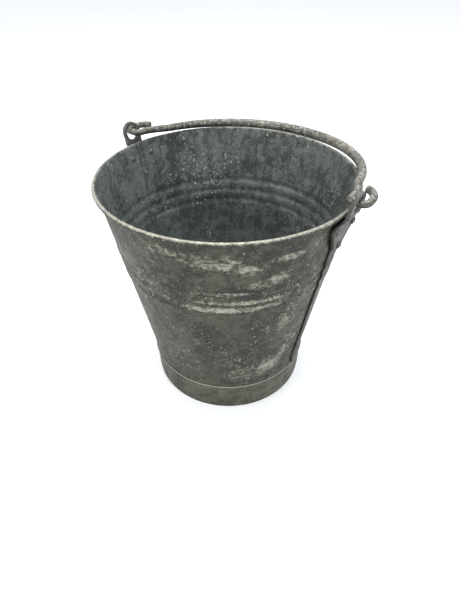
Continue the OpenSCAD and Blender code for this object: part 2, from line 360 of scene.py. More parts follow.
@dataclass(frozen=True)
class ZincFinish:
    """Old hot-dip galvanising: a dull mottled skin, ragged paler flakes, pale specks, rubbed edges that are
    partly painted highlights, and painted shade.
    """

    name: str
    outside: Tones
    inside: Tones
    mottle_scale: float = 62.0
    flake_level: float = 0.62
    speck_level: float = 0.5
    metallic: float = 0.25
    places: tuple[WornPlace, ...] = ()
    # True to paint shade along the open edge of each seam.
    seam_lines: bool = False
    broad: Layer = Layer(13.0, 3.0, 0.55)
    fine: Layer = Layer(260.0, 6.0, 0.8)
    ragged: Layer = Layer(55.0, 15.0, 0.8, 1.6)
    grain: Layer = Layer(150.0, 12.0, 0.8, 0.8)
    streaks: Layer = Layer(26.0, 9.0, 0.7, 0.6)
    crowding: Layer = Layer(19.0, 3.0, 0.6)
    shaking: Layer = Layer(700.0)
    grain_stretch: tuple[float, float, float] = (1.0, 1.0, 2.6)
    streak_stretch: float = 0.5
    shake: float = 2.2 * MM
    crystal_scale: float = 130.0
    speck_scales: tuple[float, float] = (300.0, 560.0)
    level_span: tuple[float, float] = (0.41, 0.60)
    deep_span: tuple[float, float] = (190 * MM, 70 * MM)
    seam_foot: float = 49.0 * MM
    seam_top: float = 294.0 * MM
    seam_off: float = 0.7 * MM
    seam_lean: float = 5.6 / 240

    def place_mask(self, tree: ShaderTree, at: Ground) -> Number:
        """How strongly each point belongs to a worn place.

        Args:
            tree: the tree to write in.
            at: the point.

        Returns:
            The sum of the places' strengths, each fading out from its middle.
        """
        total: Number = 0.0
        for place in self.places:
            angle = math.radians(place.angle)
            along = at.x * -math.sin(angle) + at.y * math.cos(angle)
            facing = at.x * math.cos(angle) + at.y * math.sin(angle)
            u = along / place.half_width
            v = (at.z - place.height) / place.half_height
            mask = tree.fade(u * u + v * v, 1.6, 0.1) * tree.fade(facing, 0.0, 20 * MM)
            total = mask * place.strength + total
        return total

    def seam_mask(self, tree: ShaderTree, at: Ground) -> Value:
        """Painted shade along the open edge of each folded seam, which leans a little on its way down.

        Args:
            tree: the tree to write in.
            at: the point.

        Returns:
            1 on the line and 0 off it.
        """
        across = at.y * tree.math("SIGN", at.x)
        line = at.z * -self.seam_lean + (self.seam_off + self.seam_lean * self.seam_foot)
        near = tree.fade(tree.math("ABSOLUTE", across - line), 1.2 * MM, 0.4 * MM)
        soft = 0.5 * MM
        foot = tree.fade(at.z, self.seam_foot - soft, self.seam_foot + soft)
        return near * foot * tree.fade(at.z, self.seam_top, self.seam_top - 8 * soft)

    def level(self, tree: ShaderTree, at: Ground, mottle: Value) -> Value:
        """Tone of the dull skin.

        Args:
            tree: the tree to write in.
            at: the point.
            mottle: the mottling's noise.

        Returns:
            0 for the darkest skin and 1 for the palest.
        """
        angle = tree.math("ARCTAN2", at.y, at.x)
        unrolled = tree.combine(angle * self.streak_stretch, 0.0, at.z * self.streak_stretch)
        streak = tree.noise(unrolled, self.streaks)
        _, crystal = tree.cells(at.point, self.crystal_scale)
        shade = Value(tree, tree.add("ShaderNodeSeparateColor", {0: crystal}).outputs[0])
        tone = tree.noise(at.point, self.broad) * 0.3 + mottle * 0.7
        tone = (shade - 0.5) * 0.05 + tone
        tone = (at.fine - 0.5) * 0.42 + tone
        return tree.fade(tone + (streak - 0.5) * (at.inside * 0.3), *self.level_span)

    def flakes(self, tree: ShaderTree, at: Ground, worn: Value) -> tuple[Value, Value]:
        """Where the skin has flaked, and where it is down to bright metal.

        Args:
            tree: the tree to write in.
            at: the point.
            worn: how strongly it belongs to a worn place.

        Returns:
            The flaked and the bare share.
        """
        stretched = tree.vector_math("MULTIPLY", a=at.point, b=self.grain_stretch)
        flaking = tree.noise(stretched, self.grain) * 0.75 + tree.noise(at.point, self.ragged) * 0.75
        flaking = flaking + (at.fine * 0.2 + -0.35)
        flaking = worn * 0.12 + flaking
        flaking = at.wear_and_highlight * 0.12 + flaking
        flaking = at.inside * -0.015 + flaking
        flake = tree.fade(flaking, self.flake_level - 0.03, self.flake_level + 0.02)
        bare = tree.fade(flaking, self.flake_level + 0.03, self.flake_level + 0.12)
        # Rubbed to bright metal where the stored rub is high; on the bead, the rim top and the bail top that
        # rub is partly a painted highlight.
        rubbed = tree.fade(at.fine * 1.1 + at.wear_and_highlight, 0.85, 1.3)
        return flake, tree.math("MAXIMUM", bare, rubbed)

    def specks(self, tree: ShaderTree, at: Ground, worn: Value) -> Value:
        """Small pale specks, that crowd together in places.

        Args:
            tree: the tree to write in.
            at: the point.
            worn: how strongly it belongs to a worn place.

        Returns:
            1 on a speck and 0 off it.
        """
        crowd = worn * 0.05 + tree.noise(at.point, self.crowding)
        crowded = tree.fade(crowd, self.speck_level, self.speck_level + 0.14)
        drag = tree.noise_node(at.point, self.shaking).outputs["Color"]
        shaken = tree.vector_math("MULTIPLY_ADD", a=drag, b=(self.shake,) * 3, c=at.point)
        spots: list[Value] = []
        for scale, chance in zip(self.speck_scales, (crowded * 0.42, crowded * 0.25 + 0.05)):
            spot, random = tree.cells(shaken, scale)
            pick, _, size = tree.separate(random)
            edge = spot - (size * 0.28 + 0.12)
            spots.append(tree.math("LESS_THAN", pick, chance) * tree.fade(edge, 0.1, -0.04))
        return tree.math("MAXIMUM", *spots)

    def material(self) -> bpy.types.Material:
        """Builds the material.

        Returns:
            The finished material.
        """
        material, tree = new_material(self.name)
        point = tree.add("ShaderNodeTexCoord").outputs["Object"]
        inside = tree.channel(Channel.INSIDE)
        at = Ground(point, *tree.separate(point), inside, 1.0 - inside, tree.channel(Channel.WEAR_AND_HIGHLIGHT),
                    tree.noise(point, self.fine))
        # Stored darkening: mostly painted shade, with some darkening of unclear cause on the foot and the
        # bottom.
        shade_and_grime = tree.channel(Channel.SHADE_AND_GRIME)
        mottle = tree.noise(point, Layer(self.mottle_scale, 10.0, 0.78, 0.6))
        level = self.level(tree, at, mottle)
        worn = self.place_mask(tree, at) * at.outside
        flake, bare = self.flakes(tree, at, worn)
        speck = self.specks(tree, at, worn)

        faces: list[Socket] = []
        for tones in (self.outside, self.inside):
            colour = tree.mix(level, tones.dark, tones.middle)
            colour = tree.mix(flake, colour, tones.flake)
            colour = tree.mix(bare * 0.85, colour, tones.bare)
            faces.append(tree.mix(speck * 0.75, colour, tones.bare))
        deep = tree.fade(at.z, *self.deep_span) * 0.4
        colour = tree.mix(inside, faces[0], tree.mix(deep, faces[1], self.inside.flake))
        # Painted shade along the open edge of each seam.
        if self.seam_lines:
            shade_and_grime = tree.math("MAXIMUM", shade_and_grime, self.seam_mask(tree, at) * at.outside)
        colour = tree.mix(shade_and_grime * 0.93, colour, self.outside.shade_and_dirt)

        rough = bare * -0.12 + (level * -0.14 + 0.6)
        metallic = (tree.math("MAXIMUM", bare, flake) * 0.25 + self.metallic) * (1.0 - shade_and_grime)
        relief = flake * 0.5 + mottle * 0.6 + at.fine * 0.5 + speck * 0.8
        tree.metal(colour, metallic, rough, relief, 0.6, 0.5 * MM)
        return material


@dataclass(frozen=True)
class IronFinish:
    """Old cast or wrought iron under a worn grey coat, paler on its sharp edges."""

    name: str
    dark: Colour = (0.045, 0.046, 0.042)
    middle: Colour = (0.150, 0.150, 0.135)
    bare: Colour = (0.42, 0.415, 0.38)
    metallic: float = 0.35
    mottle: Layer = Layer(160.0, 8.0, 0.7, 0.4)
    fine: Layer = Layer(900.0, 3.0, 0.6)

    def material(self) -> bpy.types.Material:
        """Builds the material.

        Returns:
            The finished material.
        """
        material, tree = new_material(self.name)
        point = tree.add("ShaderNodeTexCoord").outputs["Object"]
        mottle = tree.noise(point, self.mottle)
        fine = tree.noise(point, self.fine)
        pointiness = Value(tree, tree.add("ShaderNodeNewGeometry").outputs["Pointiness"])
        level = tree.fade(fine * 0.3 + mottle * 0.7, 0.38, 0.62)
        edge = tree.fade(pointiness, 0.51, 0.58) * tree.fade(mottle, 0.35, 0.6)
        colour = tree.mix(edge * 0.7, tree.mix(level, self.dark, self.middle), self.bare)
        tree.metal(colour, self.metallic, level * -0.12 + 0.6, mottle * 0.8 + fine * 0.4, 0.5, 0.4 * MM)
        return material


class GeometryTree(NodeTree):
    """A Geometry Nodes tree with named inputs, used once through a modifier and then applied."""

    def __init__(self, name: str) -> None:
        """Makes an empty tree with a geometry input and output."""
        super().__init__(bpy.data.node_groups.new(name, "GeometryNodeTree"))
        self.identifiers: dict[str, str] = {}
        for way in ("INPUT", "OUTPUT"):
            self.tree.interface.new_socket("Geometry", in_out=way, socket_type="NodeSocketGeometry")
        self.source = self.add("NodeGroupInput")

    def input(self, name: str, kind: str) -> Value:
        """Adds a named input.

        Args:
            name: its name.
            kind: its socket type, after NodeSocket.

        Returns:
            The input's value inside the tree.
        """
        item = self.tree.interface.new_socket(name, in_out="INPUT", socket_type="NodeSocket" + kind)
        self.identifiers[name] = item.identifier
        return Value(self, next(s for s in self.source.outputs if s.identifier == item.identifier))

    def named(self, name: str, kind: str) -> Socket:
        """An attribute of the geometry by its name."""
        return self.add("GeometryNodeInputNamedAttribute", {0: name}, data_type=kind).outputs[0]

    def here(self) -> Socket:
        """The position of the point that is looked at."""
        return self.add("GeometryNodeInputPosition").outputs[0]

    def pushed(self, geometry: Socket, vector: Socket, amount: Value) -> Socket:
        """Geometry whose points are moved along a vector, by an amount."""
        offset = self.vector_math("SCALE", a=vector, scale=amount)
        return self.add("GeometryNodeSetPosition", {0: geometry, 3: offset}).outputs[0]

    def finish(self, geometry: Socket, material: Value) -> None:
        """Ends the tree: real geometry, smooth faces and one material.

        Args:
            geometry: what the tree has made.
            material: the material input.
        """
        real = self.add("GeometryNodeRealizeInstances", {0: geometry})
        smooth = self.add("GeometryNodeSetShadeSmooth", {0: real.outputs[0]})
        dressed = self.add("GeometryNodeSetMaterial", {0: smooth.outputs[0], "Material": material})
        self.add("NodeGroupOutput", {0: dressed.outputs[0]})

    def run(self, name: str, source: bpy.types.Mesh, values: dict[str, object]) -> bpy.types.Object:
        """Runs the tree on a mesh and keeps its result as a plain mesh.

        Args:
            name: name of the new object.
            source: the mesh that the tree starts from.
            values: a value for each named input.

        Returns:
            The new object, linked to the scene.
        """
        holder = Meshes.place(name + "_source", source)
        modifier = holder.modifiers.new("shape", "NODES")
        modifier.node_group = self.tree
        for key, value in values.items():
            modifier[self.identifiers[key]] = value
        depsgraph = bpy.context.evaluated_depsgraph_get()
        mesh = bpy.data.meshes.new_from_object(holder.evaluated_get(depsgraph))
        holder.modifiers.remove(modifier)
        bpy.data.objects.remove(holder)
        mesh.name = name
        return Meshes.place(name, mesh)


def near(z: float, middle: float, reach: float) -> float:
    """1 at a middle, falling evenly to 0 at a reach from it."""
    return max(0.0, 1 - abs(z - middle) / reach)


def arc(x: float, y: float, radius: float, degrees: Iterable[float]) -> list[tuple[float, float]]:
    """Points at the given angles on an arc round a middle."""
    return [(x + radius * math.cos(math.radians(a)), y + radius * math.sin(math.radians(a))) for a in degrees]


class Meshes:
    """Small helpers on plain meshes."""

    @staticmethod
    def place(name: str, mesh: bpy.types.Mesh) -> bpy.types.Object:
        """Links a mesh to the scene as an object at the origin.

        Args:
            name: name of the object.
            mesh: the mesh.

        Returns:
            The new object.
        """
        piece = bpy.data.objects.new(name, mesh)
        bpy.context.scene.collection.objects.link(piece)
        return piece

    @staticmethod
    def store(mesh: bpy.types.Mesh, channels: dict[Channel, np.ndarray]) -> None:
        """Stores values on a mesh's points.

        Args:
            mesh: the mesh.
            channels: a value, or a row of three, for each point under each channel.
        """
        for channel, values in channels.items():
            rows = np.asarray(values, dtype=np.float32)
            kind, slot = ("FLOAT_VECTOR", "vector") if channel.wide else ("FLOAT", "value")
            mesh.attributes.new(channel.value, kind, "POINT").data.foreach_set(slot, rows.ravel())

    @staticmethod
    def read(mesh: bpy.types.Mesh, what: str) -> np.ndarray:
        """Reads the place or the normal of a mesh's points.

        Args:
            mesh: the mesh.
            what: co or normal.

        Returns:
            One row for each point.
        """
        rows = np.empty(len(mesh.vertices) * 3)
        mesh.vertices.foreach_get(what, rows)
        return rows.reshape(-1, 3)

    @staticmethod
    def polyline(name: str, points: np.ndarray, closed: bool,
                 channels: dict[Channel, np.ndarray]) -> bpy.types.Mesh:
        """A chain of edges with values stored on its points.

        Args:
            name: name of the mesh.
            points: one row of x, y and z for each point.
            closed: True to join the last point to the first.
            channels: the values for each point under each channel.

        Returns:
            The mesh.
        """
        count = len(points)
        edges = [(i, i + 1) for i in range(count - 1)] + ([(count - 1, 0)] if closed else [])
        mesh = bpy.data.meshes.new(name)
        mesh.from_pydata([tuple(map(float, p)) for p in points], edges, [])
        Meshes.store(mesh, channels)
        return mesh

    @staticmethod
    def tidy(piece: bpy.types.Object, sharp_degrees: float = 38.0) -> None:
        """Merges doubles, turns the faces outwards and marks the sharp edges.

        Args:
            piece: the object.
            sharp_degrees: edges that turn by more than this stay sharp.
        """
        work = bmesh.new()
        work.from_mesh(piece.data)
        bmesh.ops.remove_doubles(work, verts=work.verts, dist=MERGE)
        bmesh.ops.dissolve_degenerate(work, edges=work.edges, dist=MERGE / 20)
        bmesh.ops.recalc_face_normals(work, faces=work.faces)
        work.to_mesh(piece.data)
        work.free()
        piece.data.shade_smooth()
        piece.data.set_sharp_from_angle(angle=math.radians(sharp_degrees))

    @staticmethod
    def loft(name: str, rings: np.ndarray, channels: dict[Channel, np.ndarray]) -> bpy.types.Object:
        """A closed tube through rings of points, with flat ends.

        Args:
            name: name of the object.
            rings: points as [ring, point on the ring, xyz].
            channels: a value for each point of each ring, under each channel.

        Returns:
            The new object.
        """
        rows, count = rings.shape[:2]
        faces: list[tuple[int, ...]] = []
        for i in range(rows - 1):
            for j in range(count):
                k = (j + 1) % count
                faces.append((i * count + j, i * count + k, (i + 1) * count + k, (i + 1) * count + j))
        faces.append(tuple(range(count)))
        faces.append(tuple(range((rows - 1) * count, rows * count)))
        mesh = bpy.data.meshes.new(name)
        mesh.from_pydata([tuple(map(float, p)) for p in rings.reshape(-1, 3)], [], faces)
        Meshes.store(mesh, channels)
        return Meshes.place(name, mesh)

    @staticmethod
    def join(name: str, pieces: list[bpy.types.Object]) -> bpy.types.Object:
        """Joins pieces that share one material into the first of them, and renames it.

        Args:
            name: the new name.
            pieces: the pieces.

        Returns:
            The joined piece.
        """
        first, *others = pieces
        with bpy.context.temp_override(active_object=first, object=first, selected_objects=pieces,
                                       selected_editable_objects=pieces):
            bpy.ops.object.join()
        first.name = name
        first.data.name = name
        return first


@dataclass(frozen=True)
class Dent:
    """A shallow knock in the body: where it is, how wide and tall, and how deep, in degrees and metres."""

    angle: float
    height: float
    half_width: float
    half_height: float
    depth: float


@dataclass(frozen=True)
class WallShape:
    """The rule that the body sheets follow, from the bead at their lower edge to the rolled rim."""

    rim_radius: float
    rim_height: float
    foot_radius: float
    roll_radius: float = 2.5 * MM
    sheet: float = 0.7 * MM
    foot_fit: float = 0.1 * MM
    hem_height: float = 42.8 * MM
    bead_height: float = 3.2 * MM
    bead_out: float = 0.6 * MM
    skirt_top: float = 64.0 * MM
    skirt_taper: float = 0.9 * MM
    swage_drop: float = 69.0 * MM
    swage_pitch: float = 15.0 * MM
    swage_width: float = 12.5 * MM
    swage_depth: float = 1.0 * MM
    swage_count: int = 3
    dents: tuple[Dent, ...] = ()

    @property
    def hem_radius(self) -> float:
        """Radius over the lower edge."""
        return self.foot_radius + self.foot_fit + self.sheet

    @property
    def slope_angle(self) -> float:
        """How far the wall leans outwards from upright."""
        rise = self.rim_height - self.skirt_top
        run = self.rim_radius - self.roll_radius + self.sheet - self.hem_radius - self.skirt_taper
        return math.atan(run / rise)

    @property
    def top(self) -> tuple[float, float]:
        """Radius and height at which the wall's outer face meets the inside of the roll."""
        reach = self.roll_radius - self.sheet
        return (self.rim_radius - reach * math.cos(self.slope_angle),
                self.rim_height + reach * math.sin(self.slope_angle))

    @property
    def slope(self) -> float:
        """Radius gained for each metre of height."""
        top_radius, top_height = self.top
        return (top_radius - self.hem_radius - self.skirt_taper) / (top_height - self.skirt_top)

    def straight(self, height: float) -> float:
        """Radius of the outer face on its straight line."""
        return self.hem_radius + self.skirt_taper + (height - self.skirt_top) * self.slope

    def swage(self, height: float) -> float:
        """How far the swages stand out at a height.

        Args:
            height: the height.

        Returns:
            The share of the swages' depth.
        """
        middle = self.rim_height - self.swage_drop
        best = 0.0
        for i in range(self.swage_count):
            u = (height - middle + i * self.swage_pitch) / (self.swage_width / 2)
            if abs(u) < 1:
                best = max(best, (1 + math.cos(math.pi * u)) / 2)
        return best

    def radius(self, height: float) -> float:
        """Radius of the outer face at a height.

        Args:
            height: the height.

        Returns:
            The radius.
        """
        if height < self.skirt_top:
            return self.hem_radius + self.skirt_spread(height) + self.bead_out * self.bead(height)
        return self.straight(height) + self.swage_depth * self.swage(height)

    def skirt_spread(self, height: float) -> float:
        """How far the skirt has opened out at a height."""
        return (height - self.hem_height) * self.skirt_taper / (self.skirt_top - self.hem_height)

    def bead(self, height: float) -> float:
        """How far the bead at the lower edge stands out at a height, as a share of its depth."""
        u = (height - self.hem_height) / self.bead_height
        return math.sin(math.pi * u) if 0 <= u <= 1 else 0.0

    def heights(self, step: float = 3.5 * MM) -> list[float]:
        """Heights of the section's points, closest on the bead and the swages.

        Args:
            step: about how far apart they are on the plain wall.

        Returns:
            The heights, from the lower edge up.
        """
        out = [self.hem_height + self.bead_height * i / 10 for i in range(11)]
        high = self.rim_height - self.swage_drop + self.swage_width / 2
        low = high - (self.swage_count - 1) * self.swage_pitch - self.swage_width
        spans = ((out[-1], self.skirt_top, 2.0 * MM), (self.skirt_top, low, step), (low, high, 0.9 * MM),
                 (high, self.top[1], step))
        for start, end, pace in spans:
            count = max(1, round((end - start) / pace))
            out += [start + (end - start) * (i + 1) / count for i in range(count)]
        return out

    def knock(self, points: np.ndarray) -> np.ndarray:
        """Moves points in or out of the body's dents.

        Args:
            points: rows of x, y and z.

        Returns:
            The moved points.
        """
        radius = np.hypot(points[:, 0], points[:, 1])
        angle = np.arctan2(points[:, 1], points[:, 0])
        shift = np.zeros(len(points))
        for dent in self.dents:
            turn = np.angle(np.exp(1j * (angle - math.radians(dent.angle))))
            u = turn * radius / dent.half_width
            v = (points[:, 2] - dent.height) / dent.half_height
            shift -= dent.depth * np.exp(-(u * u + v * v))
        scale = (radius + shift) / np.maximum(radius, 1e-6)
        moved = points.copy()
        moved[:, 0] *= scale
        moved[:, 1] *= scale
        return moved


@dataclass
class TurnedSheet:
    """Sweeps a closed section, with radius as x and height as y, round the axis, and ripples it slightly."""

    steps: int = 240
    ripple: float = 0.35 * MM
    ripple_scale: float = 9.0
    tree: GeometryTree = field(init=False)

    def __post_init__(self) -> None:
        """Writes the Geometry Nodes tree."""
        t = GeometryTree("turned_sheet")
        steps = t.input("Steps", "Int")
        start, sweep, ripple, ripple_scale, seed = (
            t.input(name, "Float") for name in ("Start Angle", "Sweep", "Ripple", "Ripple Scale", "Seed"))
        capped = t.input("Capped", "Bool")
        material = t.input("Material", "Material")
        section = t.source.outputs[0]
        count = Value(t, t.add("GeometryNodeAttributeDomainSize", {0: section}).outputs[0])
        rows = count + 1.0
        grid = t.add("GeometryNodeMeshGrid", {"Size X": 1.0, "Size Y": 1.0, "Vertices X": steps + 1.0,
                                              "Vertices Y": rows})
        index = Value(t, t.add("GeometryNodeInputIndex").outputs[0])
        column = t.math("FLOOR", (index + 0.5) / rows)
        source_row = t.math("FLOOR", t.math("MODULO", index - column * rows, count) + 0.01)
        here = t.here()
        angle = column / steps * sweep + start
        corner = self.sampled(t, section, here, source_row, "FLOAT_VECTOR")
        shell = t.add("GeometryNodeSetPosition", {0: grid.outputs[0], 2: self.turned(t, corner, angle)})
        geometry = shell.outputs[0]
        for channel in FINISH:
            value = self.sampled(t, section, t.named(channel.value, "FLOAT"), source_row, "FLOAT")
            geometry = t.add("GeometryNodeStoreNamedAttribute",
                             {0: geometry, "Name": channel.value, "Value": value},
                             data_type="FLOAT", domain="POINT").outputs[0]
        chain = t.add("GeometryNodeMeshToCurve", {0: section}).outputs[0]
        plate = t.add("GeometryNodeFillCurve", {0: chain}).outputs[0]
        join = t.add("GeometryNodeJoinGeometry", {0: geometry})
        for at in (start, start + sweep):
            cap = t.add("GeometryNodeSetPosition", {0: plate, 2: self.turned(t, here, at)})
            pick = t.add("GeometryNodeSwitch", {"Switch": capped, "True": cap.outputs[0]},
                         input_type="GEOMETRY")
            t.feed(join.inputs[0], pick.outputs[0])
        merged = t.add("GeometryNodeMergeByDistance", {0: join.outputs[0], "Distance": MERGE}).outputs[0]
        shifted = t.vector_math("ADD", a=here, b=t.combine(seed, seed, seed))
        swell = (t.noise(shifted, Layer(ripple_scale)) - RIPPLE_REST) * ripple
        x, y, _ = t.separate(here)
        outwards = t.vector_math("NORMALIZE", a=t.combine(x, y, 0.0))
        t.finish(t.pushed(merged, outwards, swell), material)
        self.tree = t

    @staticmethod
    def sampled(t: GeometryTree, section: Socket, value: Socket, row: Value, kind: str) -> Socket:
        """Value at a row of the section."""
        return t.add("GeometryNodeSampleIndex", {0: section, 1: value, 2: row}, data_type=kind).outputs[0]

    @staticmethod
    def turned(t: GeometryTree, section_point: Socket, angle: Value) -> Socket:
        """Place in space of a section's point at an angle round the axis."""
        radius, height, _ = t.separate(section_point)
        return t.combine(radius * t.math("COSINE", angle), radius * t.math("SINE", angle), height)

    def build(self, name: str, rows: list[Row], start: float, sweep: float, seed: float,
              material: bpy.types.Material) -> bpy.types.Object:
        """Builds one turned piece.

        Args:
            name: name of the new object.
            rows: radius, height, inside, rub (partly worn, partly painted highlight) and darkening (mostly
                painted shade) of each point round the closed section.
            start: angle of its first end.
            sweep: angle from its first end to its last.
            seed: shifts the ripples.
            material: the piece's finish.

        Returns:
            The new object.
        """
        table = np.array(rows)
        points = np.column_stack([table[:, :2], np.zeros(len(table))])
        chain = Meshes.polyline(name + "_section", points, True, dict(zip(FINISH, table[:, 2:].T)))
        whole = abs(sweep - 2 * math.pi) < 1e-9
        steps = round(self.steps * (2 if whole else 1))
        piece = self.tree.run(name, chain, {
            "Steps": steps, "Start Angle": start, "Sweep": sweep, "Ripple": self.ripple,
            "Ripple Scale": self.ripple_scale, "Seed": seed, "Capped": not whole, "Material": material})
        Meshes.tidy(piece)
        return piece


@dataclass
class BodySheets:
    """The two half sheets: skirt, swaged wall, rolled rim, and the folds that lock them together."""

    shape: WallShape
    turner: TurnedSheet
    roll_turn: float = 290.0
    seam_width: float = 9.8 * MM
    seam_gap: float = 0.05 * MM
    seam_foot: float = 49.2 * MM
    seam_top: float = 288.5 * MM
    seam_lean: float = 4.3 * MM
    roll_steps: int = 44

    def section(self) -> list[Row]:
        """The sheet's closed section: up its outer face, round the roll and back, and down its inner face.

        Returns:
            Radius, height, inside, rub (partly worn, partly painted highlight) and darkening (painted shade)
            of each point.
        """
        shape = self.shape
        heights = shape.heights()
        rows: list[Row] = []
        for z in heights:
            # The bead is rubbed lighter, partly worn and partly a painted highlight; the swage crests are
            # lightly worn.
            wear_and_highlight = max(0.95 * shape.bead(z), 0.12 * shape.swage(z))
            rows.append((shape.radius(z), z, 0.0, wear_and_highlight, self.shade_and_dirt(z)))
        start = 180.0 - math.degrees(shape.slope_angle)
        steps = self.roll_steps
        inner = shape.roll_radius - shape.sheet
        # The inner face of the curl gets painted shade.
        for i in range(1, steps + 1):
            a = math.radians(start - self.roll_turn * i / steps)
            rows.append((shape.rim_radius + inner * math.cos(a), shape.rim_height + inner * math.sin(a),
                         0.0, 0.0, 0.8))
        # The roll's outer face is rubbed lighter towards its top: partly worn, partly a painted highlight.
        for i in range(steps, -1, -1):
            turn = self.roll_turn * i / steps
            a = math.radians(start - turn)
            indoors = min(1.0, max(0.0, (70 - turn) / 60))
            rows.append((shape.rim_radius + shape.roll_radius * math.cos(a),
                         shape.rim_height + shape.roll_radius * math.sin(a),
                         indoors, 0.62 * max(0.0, math.sin(a + 0.35)), 0.0))
        thick = shape.sheet / math.cos(shape.slope_angle)
        for z in reversed(heights[:-1]):
            rows.append((shape.radius(z) - thick, z, 1.0, 0.06 * shape.swage(z), 0.0))
        return rows

    def shade_and_dirt(self, z: float) -> float:
        """Painted shade on the outer face: under the roll, in the crease just above the bead, and a shadow
        line along the lower edge.

        Args:
            z: the height.

        Returns:
            How much painted shade there is, from 0 to 1.
        """
        shape = self.shape
        under_roll = 0.75 * near(z, shape.rim_height, 7 * MM)
        over_bead = 0.5 * near(z, shape.hem_height + shape.bead_height + 0.6 * MM, 1.8 * MM)
        edge = 0.9 if z < shape.hem_height + 0.15 * shape.bead_height else 0.0
        return max(under_roll, over_bead, edge)

    def fold_line(self, hook: bool) -> np.ndarray:
        """Middle line of a folded edge in plan: how far along the wall, and how far out from its outer face.

        Args:
            hook: True for the covering fold, False for the fold that it hooks over.

        Returns:
            Rows of along and out.
        """
        sheet = self.shape.sheet
        layer = sheet / math.cos(self.shape.slope_angle) + self.seam_gap
        half = self.seam_width / 2
        if not hook:
            turn = half - sheet / 2
            top = 2 * layer - sheet / 2
            return np.array([(turn, -sheet / 2), (turn, top - sheet / 2), (turn - 0.3 * MM, top),
                             (sheet + self.seam_gap - half, top)])
        turn = half + self.seam_gap + sheet / 2
        soft = 0.6 * MM
        line = [(turn, -sheet / 2), (turn, 3 * layer - sheet / 2 - soft)]
        middle = (turn - soft, 3 * layer - sheet / 2 - soft)
        line += arc(*middle, soft, (20, 45, 70, 90))
        curl = (layer + sheet / 2 - half, 2 * layer - sheet / 2)
        line += arc(*curl, layer, range(90, 271, 20))
        line.append((half - 2 * sheet, layer - sheet / 2))
        return np.array(line)

    def strip(self, line: np.ndarray) -> np.ndarray:
        """Outline of a strip of sheet that follows a middle line.

        Args:
            line: rows of along and out.

        Returns:
            Rows of the outline, all the way round.
        """
        along = np.gradient(line, axis=0)
        along /= np.linalg.norm(along, axis=1)[:, None]
        normal = np.column_stack([-along[:, 1], along[:, 0]]) * self.shape.sheet / 2
        return np.vstack([line + normal, (line - normal)[::-1]])

    def fold(self, name: str, hook: bool, side: Side) -> bpy.types.Object:
        """Builds one folded edge along its seam.

        Args:
            name: name of the object.
            hook: True for the covering fold.
            side: the seam.

        Returns:
            The new object.
        """
        outline = self.strip(self.fold_line(hook))
        shape = self.shape
        between = [z for z in shape.heights() if self.seam_foot < z < self.seam_top]
        rings: list[np.ndarray] = []
        for z in (self.seam_foot, *between, self.seam_top):
            lean = self.seam_lean * (self.seam_top - z) / (self.seam_top - self.seam_foot)
            radius = shape.radius(z) + outline[:, 1]
            angle = (outline[:, 0] + lean) / shape.radius(z) + side.turn
            height = np.full(len(outline), z)
            rings.append(np.column_stack([radius * np.cos(angle), radius * np.sin(angle), height]))
        across, out = (np.broadcast_to(column, (len(rings), len(outline))) for column in outline.T)
        edge = (across < 0.3 * MM - self.seam_width / 2) & (out > 1.6 * MM)
        # The fold's faces near the wall get painted shade for the crevice; its proud outer edge is worn.
        return Meshes.loft(name, np.array(rings), {
            Channel.INSIDE: np.zeros(out.shape), Channel.WEAR_AND_HIGHLIGHT: np.where(edge, 0.2, 0.0),
            Channel.SHADE_AND_GRIME: 0.85 * np.clip(1 - out / (1.2 * MM), 0, 1)})

    def build(self, name: str, node: str, side: Side, material: bpy.types.Material) -> bpy.types.Object:
        """Builds one half sheet with its two folded edges.

        Args:
            name: name of the piece.
            node: the CAD node that it stands for.
            side: RIGHT for the sheet whose plain end is at the right-hand seam.
            material: its finish.

        Returns:
            The finished piece.
        """
        half = math.asin(self.seam_width / 2 / (self.shape.rim_radius - self.shape.roll_radius))
        slit = 2 * self.seam_gap / self.shape.foot_radius
        start = half + slit - math.pi + side.turn
        shell = self.turner.build(name, self.section(), start, math.pi - slit, SEED, material)
        folds = [self.fold(name + "_plain", False, side), self.fold(name + "_hook", True, side.other)]
        for part in folds:
            part.data.materials.append(material)
            Meshes.tidy(part, 50.0)
        piece = Meshes.join(name, [shell, *folds])
        points = Meshes.read(piece.data, "co")
        piece.data.vertices.foreach_set("co", self.shape.knock(points).ravel())
        piece.data.update()
        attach(piece, BUCKET)
        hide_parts(node)
        return piece


